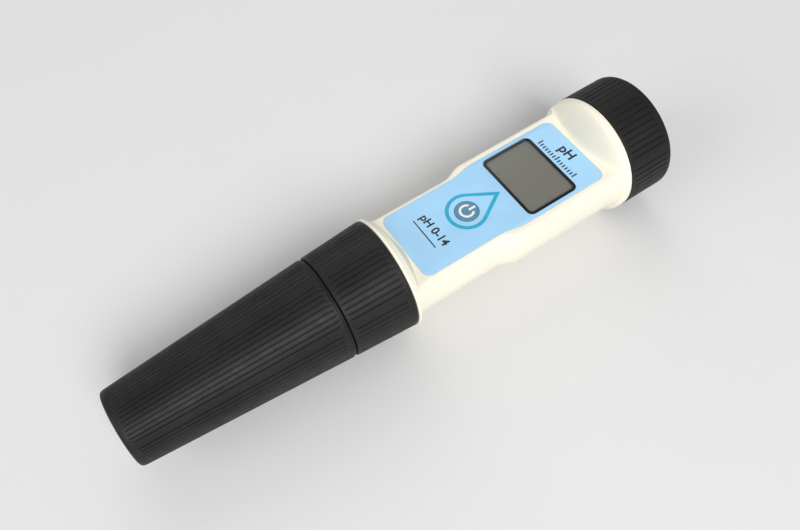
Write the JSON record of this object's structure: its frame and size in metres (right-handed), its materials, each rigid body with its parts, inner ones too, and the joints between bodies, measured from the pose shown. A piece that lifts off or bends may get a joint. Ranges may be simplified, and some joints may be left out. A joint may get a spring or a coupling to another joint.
{
  "type": "pocket ph meter",
  "caption": "Pocket pH tester: round housing with flat display face, ribbed battery cap, ribbed collar and a long ribbed cap over its plug-in glass sensor.",
  "frame": {"origin": "middle of the tester's bounding box, at the bottom, on the surface it lies on with its label up", "axes": "+X along the tester towards the battery cap, +Z out of the label, +Y across it"},
  "size_m": [0.1872, 0.0402, 0.04],
  "materials": {
    "ivory_shell": "fine satin moulded",
    "black_grip": "satin moulded, ribbed",
    "label_film": "printed film, satin",
    "display_pane": "clear with black border",
    "key_face": "satin",
    "liquid_crystal": "polarised glass",
    "grey_plastic": "moulded",
    "seal_rubber": "matte",
    "board": "solder mask",
    "chip": "moulded epoxy",
    "steel": "plain",
    "gold_contact": "plated",
    "cell_sleeve": "shrink sleeve",
    "smoked_plastic": "polished",
    "electrode_glass": "blown",
    "silver_wire": "chloride coated",
    "junction_ceramic": "porous",
    "foam": "open-cell sponge"
  },
  "bodies": {
    "housing": {"housing": "ivory_shell", "front_label": "label_film", "display_window": "display_pane", "lcd_panel": "liquid_crystal", "lcd_frame": "grey_plastic", "elastomer_strip_1": "seal_rubber", "elastomer_strip_2": "seal_rubber", "circuit_board": "board", "processor_chip": "chip", "amplifier_chip": "chip", "clock_crystal": "steel", "key_switch": "steel", "board_screw_1": "steel", "board_screw_2": "steel", "sensor_socket": "grey_plastic", "battery_tray": "grey_plastic", "battery_cell_1": "cell_sleeve", "battery_cell_2": "cell_sleeve", "battery_spring_1": "steel", "battery_spring_2": "steel", "battery_cap_seal": "seal_rubber"},
    "power_key": {"power_key": "key_face"},
    "contact_carrier": {"contact_holder": "grey_plastic", "contact_plate": "gold_contact"},
    "battery_cap": {"battery_cap": "black_grip"},
    "sensor_module": {"sensor_body": "smoked_plastic", "glass_electrode": "electrode_glass", "inner_wire": "silver_wire", "reference_junction": "junction_ceramic", "temperature_probe": "steel", "sensor_seal": "seal_rubber", "sensor_pin_1": "gold_contact", "sensor_pin_2": "gold_contact", "sensor_pin_3": "gold_contact"},
    "collar": {"collar": "black_grip", "cap_seal": "seal_rubber"},
    "protective_cap": {"protective_cap": "black_grip", "cap_sponge": "foam"}
  },
  "joints": [
    {"name": "power_key_press", "type": "slide", "parent": "housing", "child": "power_key", "axis": [0, 0, -1], "range_m": [0, 0.0005], "stiffness_N_per_m": 600},
    {"name": "battery_cap_travel", "type": "slide", "parent": "housing", "child": "contact_carrier", "axis": [1, 0, 0], "range_m": [0, 0.009]},
    {"name": "battery_cap_turn", "type": "hinge", "parent": "contact_carrier", "child": "battery_cap", "pos_m": [0.085, 0, 0.01999], "axis": [1, 0, 0], "range_deg": [0, 1085]},
    {"name": "collar_travel", "type": "slide", "parent": "housing", "child": "sensor_module", "axis": [-1, 0, 0], "range_m": [0, 0.0075]},
    {"name": "collar_turn", "type": "hinge", "parent": "sensor_module", "child": "collar", "pos_m": [-0.015, 0, 0.01999], "axis": [-1, 0, 0], "range_deg": [0, 1085]},
    {"name": "protective_cap_pull", "type": "slide", "parent": "collar", "child": "protective_cap", "axis": [-1, 0, 0], "range_m": [0, 0.07]}
  ],
  "couplings": [
    {"joint": "battery_cap_turn", "follows": "battery_cap_travel", "rad_per_m": 2094.4},
    {"joint": "collar_turn", "follows": "collar_travel", "rad_per_m": 2513.3}
  ]
}
